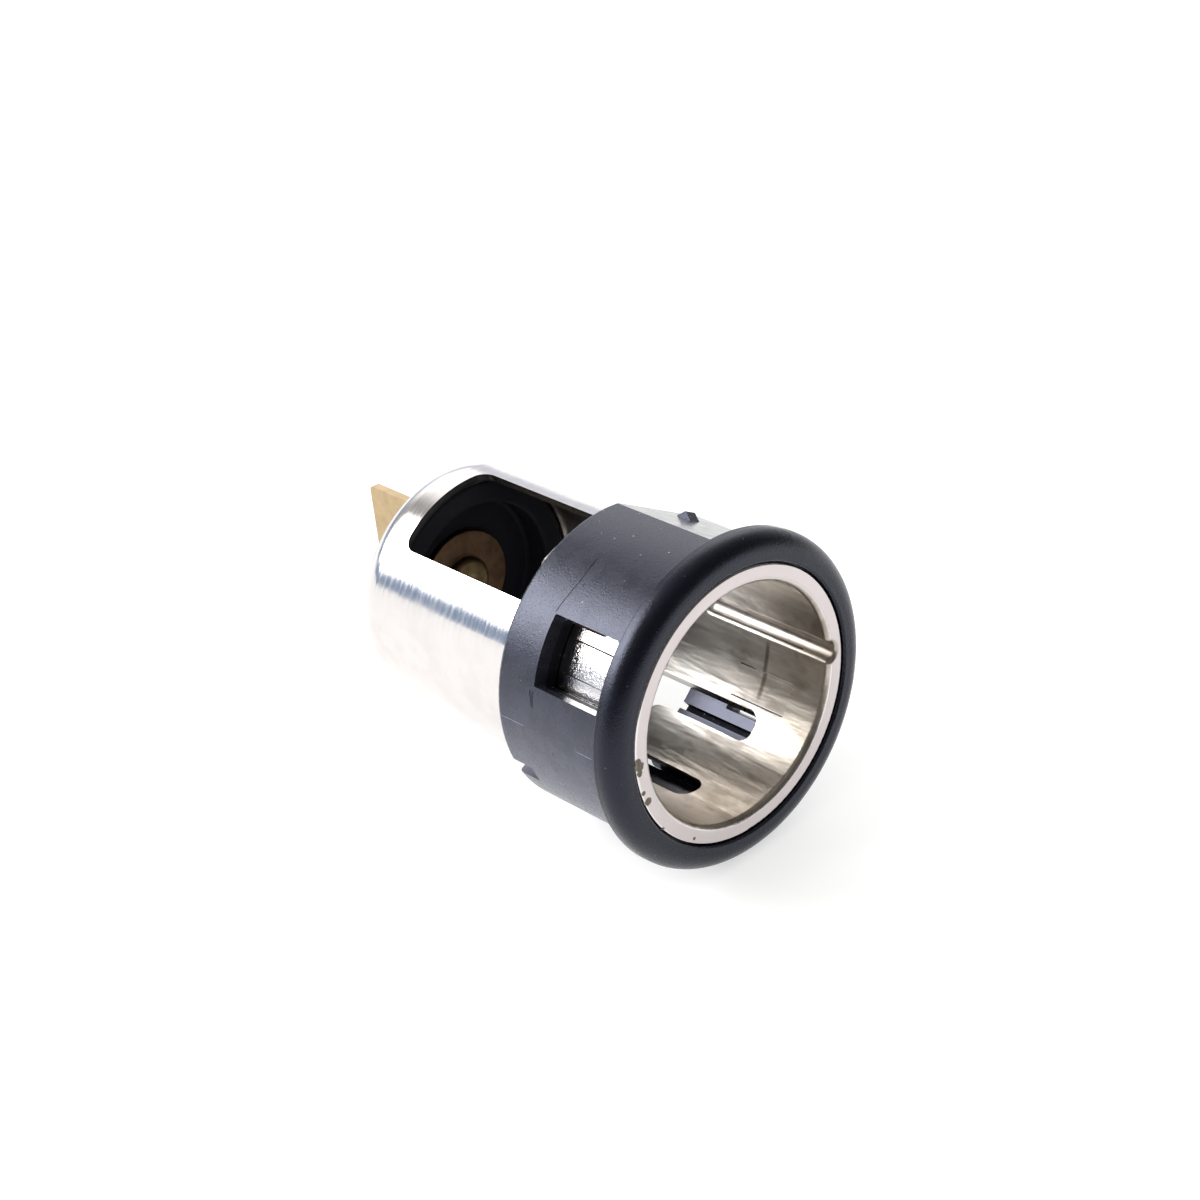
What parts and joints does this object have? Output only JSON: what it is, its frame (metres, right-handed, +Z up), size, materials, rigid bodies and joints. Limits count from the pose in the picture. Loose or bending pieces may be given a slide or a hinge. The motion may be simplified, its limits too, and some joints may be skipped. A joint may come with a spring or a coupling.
{
  "type": "car power socket",
  "caption": "Round car power socket: flanged metal shell with windowed sides in a black snap-in collar with a rounded bezel, riveted centre contact and blade terminals behind.",
  "frame": {"origin": "on the socket's axis, in the plane of the bezel's back, which seats on the panel", "axes": "-Y out of the mouth toward the user, +X toward the key groove, +Z up"},
  "size_m": [0.0296, 0.0456, 0.0296],
  "materials": {
    "nickel_plate": "bright nickel plate with fine draw lines and scuffs",
    "collar_plastic": "fine-grained satin moulding with scuffs and dust",
    "insulator_plastic": "plain matt moulding",
    "bronze": "brown, tarnished",
    "rivet_brass": "satin",
    "blade_brass": "satin rolled strip",
    "hard_paper": "punched laminate"
  },
  "bodies": {
    "root": {"shell": "nickel_plate", "mounting_collar": "collar_plastic", "base_insulator": "insulator_plastic", "contact_disc": "bronze", "centre_rivet": "rivet_brass", "ground_terminal": "blade_brass", "rear_insulator": "hard_paper", "positive_terminal": "blade_brass"}
  },
  "joints": []
}
